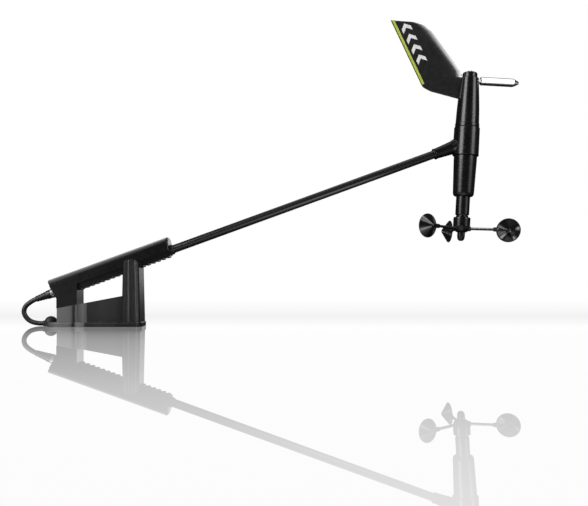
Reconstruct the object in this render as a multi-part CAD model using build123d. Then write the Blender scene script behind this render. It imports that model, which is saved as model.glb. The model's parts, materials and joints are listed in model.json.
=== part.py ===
from build123d import *
import math
import os

# Wind sensor: a mast base carries a rising spar, and the head at the spar's front end
# holds a vane above and a three-cup rotor below.
# Origin: centre of the mast plate's underside. +X forward to the rotor, +Z up.
# Millimetres and degrees throughout.
os.makedirs("parts", exist_ok=True)

# ---- Driving dimensions ----
SPAR_ANGLE = 20.0          # rise of the spar above horizontal
SPAR_Z0 = 54.87            # height of the spar axis above the origin
SPAR_OD = 9.0
SPAR_ID = 7.2
HEAD_LEAN = 3.2            # forward lean of the head axis
HEAD_X = 402.8             # where the head axis crosses the spar axis
FIT = 0.03                 # radial room left in every seat
SEAT_GAP = 0.05            # room round the root housing in its saddle

# Mast base
PLATE_X0, PLATE_X1 = -54.0, 48.4
PLATE_HALF = 16.0
PLATE_T = 4.7
BLOCK_X0, BLOCK_X1 = -43.5, -21.7
BLOCK_HALF = 13.6
WEB_HALF = 6.5
WEB_X1 = 30.0
POST_X0, POST_X1 = 26.7, 47.0
POST_TOP = 72.8
WEDGE_POINT, WEDGE_SLOPE = (-12.6, 0, 25.8), 0.190   # sloping joint of block and foot
MAST_SCREW_X, MAST_SCREW_Y = 15.0, 11.2
MAST_SCREW_HOLE = 2.1
FOOT_SCREW_X, FOOT_SCREW_Y = -33.5, 7.2
FOOT_SCREWS = [(FOOT_SCREW_X, side * FOOT_SCREW_Y) for side in (-1, 1)]
GLAND_X, GLAND_R = -53.8, 6.7

# Root housing, in the spar frame
SHELL_HALF = 12.8
SHELL_BOTTOM = -0.4
SHELL_TOP = 14.8
KEEL_HALF = 8.0
KEEL_BOTTOM = -6.1
RIB_BOTTOM = -7.2
HOUSING_X0, HOUSING_X1 = -62.0, 92.0
FRONT_X, FRONT_Z, FRONT_NORMAL = 75.7, 97.5, (21.8, 0, 3.5)   # front end plane

# Bearings
VANE_BRG = dict(bore=2.5, outer=6.5, width=4.0, ball=1.0, pitch=4.5, count=8)
ROTOR_BRG = dict(bore=2.0, outer=5.5, width=4.0, ball=0.95, pitch=3.75, count=7)
VANE_SEAT = VANE_BRG["outer"] + FIT
ROTOR_SEAT = ROTOR_BRG["outer"] + FIT

# Rotor
ROTOR_R = 50.3             # head axis to cup centre
ROTOR_Z = -95.3            # cup centres, along the head axis
ARM_Z = ROTOR_Z + 0.6
CUP_R = 12.7
CUP_DEPTH = 9.6
CUP_WALL = 0.9
RIM_Y = -1.9               # the rim plane stands a little ahead of the arm
ARM_R = 1.5
ARM_END = ROTOR_R - CUP_R - 0.6
ROTOR_TURNS = [Rot(0, 0, -25.8 + 120 * i) for i in range(3)]

# ---- Frames ----
HEAD_Z = SPAR_Z0 + HEAD_X * math.tan(math.radians(SPAR_ANGLE))
SPAR_TO_HEAD = HEAD_X / math.cos(math.radians(SPAR_ANGLE))
SPAR_END = SPAR_TO_HEAD - 14.5
SPAR = Location((0, 0, SPAR_Z0), (0, -SPAR_ANGLE, 0))           # x along the spar
SPAR_TURN = Location((0, 0, SPAR_Z0), (0, 90 - SPAR_ANGLE, 0))  # z along the spar
HEAD = Location((HEAD_X, 0, HEAD_Z), (0, HEAD_LEAN, 0))         # z up the head axis


# ---- Helpers ----
def turned(points):
    """Solid of revolution about Z from a closed (radius, height) outline."""
    wire = Polyline(*[(r, 0, z) for r, z in points], close=True)
    return revolve(make_face(wire), Axis.Z)


def rod(radius, z0, z1, x=0, y=0):
    return Pos(x, y, (z0 + z1) / 2) * Cylinder(radius, z1 - z0)


def tube(outer, inner, z0, z1):
    return turned([(inner, z0), (outer, z0), (outer, z1), (inner, z1)])


def along_x(x, z):
    """Frame at (x, 0, z) whose own z runs along +X."""
    return Pos(x, 0, z) * Rot(0, 90, 0)


def half(point, normal, size=600):
    """A large block lying on the normal's side of a plane."""
    plane = Plane(origin=point, z_dir=normal)
    return plane.location * Pos(0, 0, size / 2) * Box(size, size, size)


def prism(points, y0, y1):
    """Side outline in XZ carried from y0 to y1."""
    wire = Polyline(*[(x, y0, z) for x, z in points], close=True)
    return extrude(make_face(wire), amount=y1 - y0, dir=(0, 1, 0))


def soft(part, edges, radius):
    """Round the edges, stepping the radius down until it holds."""
    for factor in (1.0, 0.8, 0.6, 0.4, 0.2):
        # the kernel may refuse a radius; the next smaller one is then tried
        try:
            out = fillet(edges, radius * factor)
            if out.is_valid:
                return out
        except Exception:
            continue
    return part


def near(edges, test):
    return [e for e in edges if test(e.center())]


def save(shape, name):
    # placing the result of a boolean can give a plain list of solids
    solids = shape.solids() if hasattr(shape, "solids") else shape
    out = Compound(children=list(solids)) if len(solids) > 1 else solids[0]
    export_step(out, "parts/" + name + ".step")


def save_group(shapes, name):
    save(Compound(children=shapes), name)


# ---- Mast base: plate, rear block, web and front post in one moulding ----
def base_plate():
    outline = Pos((PLATE_X0 + PLATE_X1) / 2, 0) * Rectangle(PLATE_X1 - PLATE_X0, 2 * PLATE_HALF)
    outline = fillet(outline.vertices(), 6.0)
    plate = extrude(outline, PLATE_T)
    return soft(plate, plate.edges().group_by(Axis.Z)[-1], 1.0)


def block_and_web():
    plan = Pos((BLOCK_X0 + BLOCK_X1) / 2, 0) * Rectangle(BLOCK_X1 - BLOCK_X0, 2 * BLOCK_HALF)
    plan = plan + Pos((BLOCK_X1 + WEB_X1) / 2, 0) * Rectangle(WEB_X1 - BLOCK_X1, 2 * WEB_HALF)
    inner = [v for v in plan.vertices()
             if abs(v.X - BLOCK_X1) < 0.01 and abs(abs(v.Y) - WEB_HALF) < 0.01]
    plan = fillet(inner, 6.5)
    rear = [v for v in plan.vertices() if abs(v.X - BLOCK_X0) < 0.01]
    plan = fillet(rear, 1.5)
    return Pos(0, 0, 2.0) * extrude(plan, 40.0) - half(WEDGE_POINT, (-WEDGE_SLOPE, 0, 1.0))


def post_section(z, x0, x1, half_width):
    """Plan of the post: each side is two convex flutes with a groove between."""
    corner, groove = 2.4, 0.75
    inset = 0.293 * corner             # corner arc's middle, in from each face
    middle = (x0 + x1) / 2

    def side(s):
        def at(x, y):
            return (x, s * y, z)

        ends = [at(x0, half_width - corner), at(x0 + corner, half_width),
                at(middle - groove, half_width - 0.1), at(middle + groove, half_width - 0.1),
                at(x1 - corner, half_width), at(x1, half_width - corner)]
        mids = [at(x0 + inset, half_width - inset),
                at((ends[1][0] + ends[2][0]) / 2, half_width + 0.6),
                at(middle, half_width - 1.0),
                at((ends[3][0] + ends[4][0]) / 2, half_width + 0.6),
                at(x1 - inset, half_width - inset)]
        arcs = [ThreePointArc(a, m, b) for a, m, b in zip(ends, mids, ends[1:])]
        return arcs, ends[0], ends[-1]

    right, right_rear, right_front = side(-1)
    left, left_rear, left_front = side(1)
    return make_face(right + [Line(right_front, left_front)] + left
                     + [Line(left_rear, right_rear)])


def front_post():
    post = loft([post_section(2.0, POST_X0, POST_X1, 14.7),
                 post_section(90.0, 28.6, 45.0, 14.2)], ruled=True)
    # (x, z) side outline with the rounded top
    return post & prism([
        (20, 0), (55, 0), (55, 60), (45.8, 66.0), (45.2, 68.6), (43.6, 71.0), (41.2, 72.4),
        (38.6, POST_TOP), (35.2, POST_TOP), (32.6, 72.4), (30.2, 71.0), (28.6, 68.6),
        (28.0, 66.0), (20, 60)], -20, 20)


def mast_base():
    base = base_plate() + block_and_web() + front_post()
    # saddle that takes the root housing
    saddle = SPAR * (
        Pos(30, 0, 50 + SHELL_BOTTOM - SEAT_GAP) * Box(200, 2 * (SHELL_HALF + SEAT_GAP), 100)
        + Pos(50, 0, 10 + RIB_BOTTOM - SEAT_GAP) * Box(90, 2 * (KEEL_HALF + SEAT_GAP), 20))
    base = base - (saddle & (Pos(40, 0, 90) * Box(70, 100, 110)))
    # small blend where the post stands on the plate
    base = soft(base, near(base.edges(), lambda c: abs(c.Z - PLATE_T) < 0.05
                           and 26.0 < c.X < 47.6 and 6.0 < abs(c.Y) < 15.4), 0.8)
    # mast screw holes, countersunk from above
    for x in (-MAST_SCREW_X, MAST_SCREW_X):
        for y in (-MAST_SCREW_Y, MAST_SCREW_Y):
            base -= rod(MAST_SCREW_HOLE, -1, PLATE_T + 1, x, y)
            base -= Pos(x, y, PLATE_T - 0.85) * Cone(MAST_SCREW_HOLE, 3.9, 1.8)
    # foot screw holes, counterbored from below
    for x, y in FOOT_SCREWS:
        base -= rod(2.15, -1, 40, x, y)
        base -= rod(3.85, -1, 3.4, x, y)
    # cable gland seat at the tail of the plate
    base -= rod(GLAND_R + FIT, -1, 12, GLAND_X, 0)
    return base


save(mast_base(), "mast_base")


# ---- Root housing: hooded shell over a ribbed keel, with its rear foot ----
def housing_shell():
    wall_top, wall_y = 8.6, SHELL_HALF - 0.35
    crown_y, crown_z = 6.6, 14.25      # where the shoulder meets the crown

    def at(y, z):
        return (HOUSING_X0, y, z)

    edges = [
        Line(at(-SHELL_HALF, SHELL_BOTTOM), at(-wall_y, wall_top)),
        Spline(at(-wall_y, wall_top), at(-10.9, 12.2), at(-crown_y, crown_z),
               tangents=[(0, 0.03, 1), (0, 1, 0.14)]),
        ThreePointArc(at(-crown_y, crown_z), at(0, SHELL_TOP), at(crown_y, crown_z)),
        Spline(at(crown_y, crown_z), at(10.9, 12.2), at(wall_y, wall_top),
               tangents=[(0, 1, -0.14), (0, 0.03, -1)]),
        Line(at(wall_y, wall_top), at(SHELL_HALF, SHELL_BOTTOM)),
        Line(at(SHELL_HALF, SHELL_BOTTOM), at(-SHELL_HALF, SHELL_BOTTOM)),
    ]
    return extrude(make_face(edges), amount=HOUSING_X1 - HOUSING_X0, dir=(1, 0, 0))


def ribbed_keel():
    keel = Pos((HOUSING_X0 + HOUSING_X1) / 2, 0, (KEEL_BOTTOM + 1) / 2) * Box(
        HOUSING_X1 - HOUSING_X0, 2 * KEEL_HALF, 1 - KEEL_BOTTOM)
    for x in range(-24, 82, 6):
        rib = Pos(x, 0, (RIB_BOTTOM + 0.5) / 2) * Box(3.8, 2 * KEEL_HALF, 0.5 - RIB_BOTTOM)
        keel += fillet(rib.edges().group_by(Axis.Z)[0].filter_by(Axis.Y), 0.9)
    return keel


def flank_arch():
    """Arched boss on each flank, just above the post's top."""
    arch = prism([(31.4, 60), (46.6, 60), (46.6, 72.2), (45.4, 75.2), (43.2, 77.5),
                  (40.4, 78.7), (37.6, 78.7), (34.8, 77.5), (32.6, 75.2), (31.4, 72.2)],
                 -13.5, 13.5)
    arch = arch & (SPAR * (Pos(40, 0, 10 + SHELL_BOTTOM) * Box(120, 60, 20)))
    arch -= Pos(36.9, 0, 60) * Box(24, 60, 2 * (POST_TOP + 0.1 - 60))
    return arch


def rear_foot(rear_plane):
    foot = prism([(BLOCK_X0, 10), (BLOCK_X1, 10), (BLOCK_X1, 60), (-60, 60), (-60, 10)],
                 -BLOCK_HALF, BLOCK_HALF)
    foot -= half((BLOCK_X0, 0, 30.0), (-1, 0, 0)) & half((0, 0, 30.25), (0, 0, -1))
    foot -= rear_plane & half((0, 0, 30.2), (0, 0, 1))
    foot -= SPAR * (Pos(0, 0, 50 + 7.6) * Box(300, 100, 100))
    foot -= half(WEDGE_POINT, (WEDGE_SLOPE, 0, -1.0))
    corners = near(foot.edges(), lambda c: abs(c.X - BLOCK_X1) < 0.6
                   and abs(abs(c.Y) - BLOCK_HALF) < 0.1)
    return soft(foot, corners, 1.2)


def root_housing():
    body = SPAR * (housing_shell() + ribbed_keel())
    body += flank_arch()
    rear_plane = half((-54.5, 0, 49.3), (-17.0, 0, -9.9))
    body -= half((FRONT_X, 0, FRONT_Z), FRONT_NORMAL)
    body -= rear_plane
    body += rear_foot(rear_plane)
    # one straight bore for connector and spar, two blind screw bores
    body -= SPAR_TURN * rod(SPAR_OD / 2 + FIT, -80, 120)
    for x, y in FOOT_SCREWS:
        body -= rod(1.98, 0, 40.0, x, y)
    body = soft(body, near(body.edges(), lambda c: c.X > 70 and c.Z > 84), 2.0)
    return soft(body, near(body.edges(), lambda c: c.X < -45 and c.Z > 44), 0.9)


def spar_seal():
    """Small collar where the spar leaves the housing."""
    bore = SPAR_OD / 2 + FIT
    seal = turned([(bore, 78.0), (5.6, 78.0), (5.6, 85.4), (5.0, 86.4), (bore, 86.4)])
    return (SPAR_TURN * seal) & half((FRONT_X + FIT, 0, FRONT_Z), FRONT_NORMAL)


def foot_screw(x, y):
    """Hex-socket screw, head down."""
    head = rod(3.5, 0.6, 3.2, x, y) - extrude(Pos(x, y, 0.6) * RegularPolygon(1.45, 6), 1.5)
    return head + rod(1.95, 3.2, 36.5, x, y)


save(root_housing(), "root_housing")
save(spar_seal(), "spar_seal")
save_group([foot_screw(x, y) for x, y in FOOT_SCREWS], "foot_screws")
save_group([Pos(x, y, 0) * tube(3.7, 2.1, 3.22, 3.38) for x, y in FOOT_SCREWS], "foot_washers")

# ---- Spar, its inner cable and the connector in the housing's tail ----
PIN_OFFSET = 1.5
PINS = [(PIN_OFFSET, 0), (-PIN_OFFSET, 0), (0, PIN_OFFSET), (0, -PIN_OFFSET)]
PIN_HOLE = 0.5 + FIT
SOCKET_R = 3.25            # inner radius of the receptacle


def spar_receptacle():
    shell = (tube(4.2, SOCKET_R, -55.0, -50.0) + tube(4.5, SOCKET_R, -50.0, -41.0)
             + rod(4.5, -41.0, -36.0) + rod(3.4, -36.0, -33.5))
    shell -= rod(1.65, -36.0, -33.0)
    for x, y in PINS:
        shell -= rod(PIN_HOLE, -42.0, -38.0, x, y)
    return shell


def cable_plug():
    """Plug with a stepped, ribbed tail round the cable."""
    plug = turned([
        (2.65, -74.3), (3.1, -74.3), (3.35, -73.2), (3.35, -72.2), (3.05, -71.8),
        (3.05, -71.0), (3.65, -70.6), (3.65, -69.2), (3.35, -68.8), (3.35, -68.0),
        (3.95, -67.6), (3.95, -66.2), (3.65, -65.8), (3.65, -65.0), (4.25, -64.6),
        (4.25, -63.2), (3.95, -62.8), (3.95, -62.0), (4.6, -61.6), (4.8, -60.4),
        (4.8, -57.2), (4.6, -56.9), (3.2, -56.9), (3.2, -46.0), (0.0, -46.0),
        (0.0, -61.0), (2.65, -61.0)])
    for x, y in PINS:
        plug -= rod(PIN_HOLE, -52.0, -45.0, x, y)
    return plug


def coupling_ring():
    """Ring with grip grooves round its outside."""
    ring = turned([(3.25, -56.7), (5.0, -56.7), (5.25, -56.45), (5.25, -52.35), (5.0, -52.1),
                   (4.26, -52.1), (4.26, -55.2), (3.25, -55.2)])
    for i in range(18):
        angle = math.radians(i * 20)
        ring -= rod(0.32, -56.2, -52.6, 5.35 * math.cos(angle), 5.35 * math.sin(angle))
    return ring


save(SPAR_TURN * tube(SPAR_OD / 2, SPAR_ID / 2, -33.0, SPAR_END), "spar_tube")
save(SPAR_TURN * rod(1.6, -35.5, SPAR_END + 3.0), "spar_inner_cable")
save(SPAR_TURN * spar_receptacle(), "spar_receptacle")
save_group([SPAR_TURN * rod(0.5, -45.5, -38.2, x, y) for x, y in PINS], "receptacle_pins")
save(SPAR_TURN * cable_plug(), "cable_plug")
save(SPAR_TURN * coupling_ring(), "coupling_ring")

# ---- Signal cable: loops from the plug down to the tail of the plate ----
CABLE_R = 2.6
CABLE_Z = 2.7              # height of the cable's axis where it enters the gland


def signal_cable():
    run, rise = math.cos(math.radians(SPAR_ANGLE)), math.sin(math.radians(SPAR_ANGLE))
    back = (-run, 0, -rise)            # down the spar axis, towards the rear
    start = (-61.3 * run, 0, SPAR_Z0 - 61.3 * rise)
    plug_exit = (-74.6 * run, 0, SPAR_Z0 - 74.6 * rise)
    loop_end = (-60.5, 0, CABLE_Z)
    loop = Spline(plug_exit, (-77.0, 0, 25.6), (-82.4, 0, 20.3), (-83.5, 0, 15.0),
                  (-81.0, 0, 9.3), (-75.4, 0, 4.8), (-68.2, 0, 2.95), loop_end,
                  tangents=[back, (1, 0, 0)])
    path = Line(start, plug_exit) + loop + Line(loop_end, (-51.0, 0, CABLE_Z))
    return sweep(Plane(origin=start, z_dir=back) * Circle(CABLE_R), path=path)


def cable_gland():
    """Domed plug with a short rear collar round the cable."""
    wall, rise = 4.6, 6.2              # straight side, then the dome above it
    outline = [(0, 0.0), (GLAND_R, 0.0), (GLAND_R, wall)]
    for i in range(1, 8):
        angle = math.radians(i * 90 / 8)
        outline.append((GLAND_R * math.cos(angle), wall + rise * math.sin(angle)))
    gland = Pos(GLAND_X, 0, 0) * turned(outline + [(0, wall + rise)])
    # the collar is trimmed off at the ground plane
    gland += (along_x(-60.6, CABLE_Z) * Cylinder(3.25, 3.0)) & (Pos(-60, 0, 10) * Box(20, 20, 20))
    gland -= along_x(-57.0, CABLE_Z) * Cylinder(CABLE_R + FIT, 12.0)
    gland -= Pos(-50.4, 0, 1.9) * Box(1.3, 3.6, 4.4)
    return gland


save(signal_cable(), "signal_cable")
save(cable_gland(), "cable_gland")
save_group([Pos(-50.4, y, 1.55) * Cylinder(0.3, 3.1) for y in (-1.2, -0.4, 0.4, 1.2)],
           "cable_cores")

# ---- Head: collar with the spar socket, lower housing and bearing tubes ----
SPIGOT_R = 9.5


def head_collar():
    collar = turned([(0, -14.6), (13.9, -14.6), (14.1, -14.3), (13.75, 15.9), (13.35, 16.3),
                     (0, 16.3)])
    # (radius, distance short of the head axis)
    socket = [(0, 38.0), (5.9, 38.0), (6.1, 37.6), (6.1, 36.2), (5.75, 35.8), (6.0, 32),
              (7.2, 17.0), (8.4, 12.6), (8.4, 6), (0, 6)]
    collar = HEAD * collar + SPAR_TURN * turned([(r, SPAR_TO_HEAD - d) for r, d in socket])
    collar -= HEAD * (rod(SPIGOT_R + 0.05, -20, 6.02) + rod(SPIGOT_R + FIT, 6.0, 20))
    collar -= SPAR_TURN * rod(SPAR_OD / 2 + FIT, 300, SPAR_END + 0.02)
    collar -= SPAR_TURN * rod(2.2, 300, SPAR_TO_HEAD - 2)
    return collar


def lower_housing():
    """Spigot, wall and floor round the rotor's bearing tube."""
    return turned([
        (7.9, -8.0), (SPIGOT_R, -8.0), (SPIGOT_R, -14.7), (12.2, -14.7), (12.5, -15.2),
        (12.45, -20), (11.4, -55.6), (11.1, -57.4), (10.4, -58.7), (9.2, -59.4),
        (7.53, -59.4), (7.53, -57.0), (8.6, -57.0), (8.6, -38.0), (9.5, -38.0),
        (9.5, -16.5), (7.9, -16.5)])


def rotor_bearing_tube():
    """The visible neck under the lower housing."""
    return turned([
        (4.6, -58.0), (ROTOR_SEAT, -58.0), (ROTOR_SEAT, -53.4), (8.5, -53.4), (8.5, -56.95),
        (7.5, -56.95), (7.5, -79.3), (7.1, -79.7), (ROTOR_SEAT, -79.7), (ROTOR_SEAT, -74.9),
        (4.6, -74.9)])


def vane_bearing_tube():
    """Stands in the collar and rises inside the vane hub."""
    return turned([
        (5.6, 12.0), (VANE_SEAT, 12.0), (VANE_SEAT, 6.05), (SPIGOT_R, 6.05),
        (SPIGOT_R, 16.3), (8.2, 16.3), (8.0, 61.0), (VANE_SEAT, 61.0), (VANE_SEAT, 55.5),
        (5.6, 55.5)])


save(head_collar(), "head_collar")
save(HEAD * lower_housing(), "lower_housing")
save(HEAD * tube(12.0, SPIGOT_R + FIT, -14.69, -14.61), "housing_gasket")
save(HEAD * rotor_bearing_tube(), "rotor_bearing_tube")
save(HEAD * vane_bearing_tube(), "vane_bearing_tube")


# ---- Ball bearings ----
def bearing(spec, z):
    """Pieces of one deep-groove bearing centred at z, listed by kind."""
    pitch, ball, width = spec["pitch"], spec["ball"], spec["width"]
    groove = Pos(0, 0, z) * Torus(pitch, ball + 0.03)
    low, high = z - width / 2, z + width / 2
    inner = tube(pitch - 0.55 * ball, spec["bore"] + FIT, low, high) - groove
    outer = tube(spec["outer"], pitch + 0.55 * ball, low, high) - groove
    cage = tube(pitch + 0.28 * ball, pitch - 0.28 * ball, z - width * 0.34, z + width * 0.34)
    balls = []
    for i in range(spec["count"]):
        angle = 2 * math.pi * i / spec["count"]
        centre = Pos(pitch * math.cos(angle), pitch * math.sin(angle), z)
        pocket = Cylinder(ball + 0.05, 4 * ball)
        cage -= centre * Rot(0, 0, math.degrees(angle)) * Rot(0, 90, 0) * pocket
        balls.append(centre * Sphere(ball))
    return {"inner_races": [inner], "outer_races": [outer], "bearing_cages": [cage],
            "bearing_balls": balls}


def save_bearings(spec, heights, name):
    bearings = [bearing(spec, z) for z in heights]
    for kind in bearings[0]:
        save_group([HEAD * piece for b in bearings for piece in b[kind]], name + "_" + kind)


def retaining_rings(outer, inner, spans):
    return [HEAD * tube(outer, inner, z0, z1) for z0, z1 in spans]


save_bearings(VANE_BRG, (9.9, 57.6), "vane")
save_bearings(ROTOR_BRG, (-55.9, -77.0), "rotor")
save_group(retaining_rings(VANE_BRG["outer"], 5.7, [(59.8, 60.6), (6.4, 7.6)]),
           "vane_retaining_rings")
save_group(retaining_rings(ROTOR_BRG["outer"], 4.6, [(-53.8, -53.5), (-79.6, -79.1)]),
           "rotor_retaining_rings")

# ---- Sensor boards ----
BOARD_R = 9.3
CHIPS = [                  # centre, size
    ((4.8, 0, -6.1), (3.0, 4.0, 1.2)),
    ((-4.8, 0, -6.2), (2.4, 3.2, 1.0)),
    ((0, 0, -38.55), (4.0, 3.6, 1.3)),
    ((3, 4, -36.1), (3.2, 4.0, 1.2)),
    ((-3, -4, -36.2), (2.4, 2.4, 1.0)),
]

save(HEAD * (rod(BOARD_R, -7.9, -6.7) - rod(3.0, -9, -5)), "vane_sensor_board")
save(HEAD * (rod(BOARD_R, -37.9, -36.7) - rod(1.2, -39, -35, 0, 6.5)), "rotor_sensor_board")
save_group([HEAD * (Pos(*centre) * Box(*size)) for centre, size in CHIPS], "sensor_chips")

# ---- Vane: hub, blade, counterweight, cap and spindle, in the head frame ----
HUB_BOTTOM, HUB_TOP = 16.7, 71.0
HUB_SIDE = [               # (radius, height)
    (13.0, 20.2), (12.7, 20.5), (12.6, 22.7), (12.1, 36.0), (11.3, 49.2), (10.3, 62.4),
    (9.75, 70.5), (9.3, HUB_TOP)]
WEIGHT_R = 4.5
WEIGHT_X0, WEIGHT_X1 = 11.4, 54.0
WEIGHT_AXIS = along_x(0, 68.4)
STUD_R = 2.2
CAP_SCREW_R = 1.5

TAIL_TOP, TAIL_FOOT = (-90.4, 129.9), (-52.2, 59.6)     # ends of the trailing edge
LEAD_TOP, LEAD_FOOT = (-44.2, 120.9), (-15.8, 87.0)     # ends of the leading edge
BLADE_OUTLINE = [          # (x, z)
    TAIL_TOP, (-57.0, 128.5), (-52.4, 127.2), (-47.9, 124.0), LEAD_TOP, LEAD_FOOT,
    (-11.9, 81.8), (-9.9, 78.4), (-9.0, 72.6), (-10.9, 45.0), (-15.0, 48.6), (-42.3, 54.0),
    (-48.8, 57.0), TAIL_FOOT]
TAIL_DX, TAIL_DZ = TAIL_FOOT[0] - TAIL_TOP[0], TAIL_FOOT[1] - TAIL_TOP[1]
TAIL_LENGTH = 80.0         # nominal length of the trailing edge
TAIL_HALF_T = 0.55
NOSE = 13.0                # length of the curved nose, along X
NOSE_STATIONS = (0.0, 0.25, 0.9, 2.2, 4.2, 6.6, 9.4, NOSE)   # back from the leading edge
FOIL_TOP, FOIL_BOTTOM = 142.0, 44.0   # heights of the two sections the blade runs between


def vane_hub():
    hub = turned([(8.75, HUB_BOTTOM), (12.75, HUB_BOTTOM), (13.0, 17.0)] + HUB_SIDE
                 + [(2.53, HUB_TOP), (2.53, 63.0), (8.45, 63.0)])
    return hub - WEIGHT_AXIS * rod(STUD_R + FIT, 5.15, 30.0)


def foil(z, lift):
    """Closed section at height z: small blunt edge, curved nose, straight run to the tail."""
    tail = TAIL_TOP[0] + TAIL_DX * (z - TAIL_TOP[1]) / TAIL_DZ
    lead = LEAD_TOP[0] + (LEAD_FOOT[0] - LEAD_TOP[0]) * (LEAD_TOP[1] - z) / (
        LEAD_TOP[1] - LEAD_FOOT[1])
    thick = 2.5 + 0.9 * (FOIL_TOP - z) / (FOIL_TOP - FOIL_BOTTOM)   # greatest half thickness
    points = [(lead, 0.35 + lift)]
    for d in NOSE_STATIONS[1:]:
        bulge = 1 - ((NOSE - d) / NOSE) ** 2.2
        points.append((lead - d, 0.5 + (thick - 0.5) * bulge + lift))
    points.append((tail, TAIL_HALF_T + lift))
    ring = [(x, -y, z) for x, y in points] + [(x, y, z) for x, y in reversed(points)]
    return make_face(Polyline(*ring, close=True))


def foil_body(lift=0.0):
    """Blade solid before trimming, its cheeks raised by lift."""
    return loft([foil(FOIL_BOTTOM, lift), foil(FOIL_TOP, lift)], ruled=True)


def vane_blade():
    blade = foil_body() & prism(BLADE_OUTLINE, -6.0, 6.0)
    return blade - turned([(0, HUB_BOTTOM), (13.0, HUB_BOTTOM)] + HUB_SIDE + [(0, HUB_TOP)])


def film(outline, thick):
    """Thin film lying on both cheeks of the blade inside the given outline.

    Outline points are (d, v): d forward of the trailing edge, v down it from its top.
    """
    ux, uz = TAIL_DX / TAIL_LENGTH, TAIL_DZ / TAIL_LENGTH
    points = [(TAIL_TOP[0] + ux * v - uz * d, TAIL_TOP[1] + uz * v + ux * d)
              for d, v in outline]
    return (prism(points, -6.0, 6.0) & foil_body(thick)) - foil_body(0.004)


def vane_marks():
    """Row of chevrons beside the stripe."""
    solids = []
    for v in (10.0, 22.5, 35.0, 47.5):
        chevron = [(6.0, v + 5.2), (11.4, v), (16.8, v + 5.2), (16.8, v + 10.2),
                   (11.4, v + 5.0), (6.0, v + 10.2)]
        solids += list((HEAD * film(chevron, 0.06)).solids())
    return solids


def counterweight():
    bore, x0, x1 = STUD_R + FIT, WEIGHT_X0, WEIGHT_X1
    return turned([
        (0, x0 + 10.2), (bore, x0 + 10.2), (bore, x0), (3.7, x0), (WEIGHT_R, x0 + 0.8),
        (WEIGHT_R, x1 - 7.0), (4.2, x1 - 5.8), (1.6, x1 - 0.5), (0.9, x1 - 0.1), (0, x1)])


def vane_cap():
    bore, bottom = CAP_SCREW_R + FIT, HUB_TOP + 0.02
    cap = turned([(bore, bottom), (7.6, bottom), (8.0, HUB_TOP + 0.4), (8.0, 75.4),
                  (7.4, 76.5), (6.4, 77.0), (bore, 77.0)])
    return cap - WEIGHT_AXIS * rod(WEIGHT_R + 0.25, 5.0, 20.0)


def vane_cap_screw():
    screw = turned([(0, 64.0), (CAP_SCREW_R, 64.0), (CAP_SCREW_R, 77.02), (2.8, 77.02),
                    (2.8, 78.0), (2.3, 78.9), (1.3, 79.3), (0, 79.4)])
    return screw - Pos(0, 0, 79.0) * Box(0.7, 6.0, 1.2)


def vane_spindle():
    return rod(VANE_BRG["bore"], 0.6, HUB_TOP - 0.1) - rod(CAP_SCREW_R + FIT, 63.5, 80)


save(HEAD * vane_hub(), "vane_hub")
save(HEAD * vane_blade(), "vane_blade")
save(HEAD * film([(1.9, 1.6), (4.3, 1.4), (4.3, 79.4), (1.9, 79.0)], 0.12), "vane_stripe")
save_group(vane_marks(), "vane_marks")
save(HEAD * WEIGHT_AXIS * counterweight(), "counterweight")
save(HEAD * WEIGHT_AXIS * rod(STUD_R, 5.2, 20.0), "counterweight_stud")
save(HEAD * vane_cap(), "vane_cap")
save(HEAD * vane_cap_screw(), "vane_cap_screw")
save(HEAD * vane_spindle(), "vane_spindle")
save(HEAD * tube(3.6, VANE_BRG["bore"] + FIT, 11.92, 55.58), "vane_race_spacer")
save(HEAD * rod(4.0, -2.4, 0.58), "vane_magnet")

# ---- Rotor: hub, arms, cups, spindle, in the head frame ----
ARM_AXIS = along_x(0, ARM_Z)
SPINDLE_R = ROTOR_BRG["bore"]
SPINDLE_BORE = SPINDLE_R + FIT


def rotor_hub():
    hub = turned([
        (SPINDLE_BORE, -80.3), (6.3, -80.3), (6.6, -80.6), (6.6, -82.4), (8.6, -82.4),
        (9.1, -82.9), (9.2, -84.0), (9.2, -92.0), (8.8, -95.0), (7.6, -97.2), (5.6, -98.5),
        (4.2, -99.0), (SPINDLE_BORE, -99.0)])
    for turn in ROTOR_TURNS:
        boss = ARM_AXIS * turned([(0, 3.0), (2.7, 3.0), (2.7, 9.4), (2.3, 10.2), (0, 10.2)])
        hub += turn * boss
    for turn in ROTOR_TURNS:
        hub -= turn * ARM_AXIS * rod(ARM_R + FIT, 4.0, 20.0)
    return hub - rod(SPINDLE_BORE, -100, -80)


def cup_shell():
    """Cup about Z, rim at z = 0: straight cone, rounded tip, rolled rim."""
    slope = math.atan2(CUP_R - 2.3, CUP_DEPTH - 1.6)
    run, rise = math.sin(slope), math.cos(slope)
    tip, floor = -CUP_DEPTH, -CUP_DEPTH + CUP_WALL
    inner_foot, inner_lip = (3.0, 0, floor + 1.15), (CUP_R - CUP_WALL - 0.25, 0, -1.3)
    outer_lip, outer_foot = (CUP_R - 0.05, 0, -1.1), (3.1, 0, tip + 1.25)
    return revolve(make_face([
        Line((0, 0, tip), (0, 0, floor)),
        Spline((0, 0, floor), (1.5, 0, floor + 0.28), inner_foot,
               tangents=[(1, 0, 0), (run, 0, rise)]),
        Line(inner_foot, inner_lip),
        Spline(inner_lip, (CUP_R - CUP_WALL + 0.05, 0, -0.35), (CUP_R - 0.45, 0, 0.0),
               (CUP_R, 0, -0.35), outer_lip),
        Line(outer_lip, outer_foot),
        Spline(outer_foot, (1.6, 0, tip + 0.3), (0, 0, tip),
               tangents=[(-run, 0, -rise), (-1, 0, 0)]),
    ]), Axis.Z)


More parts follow.
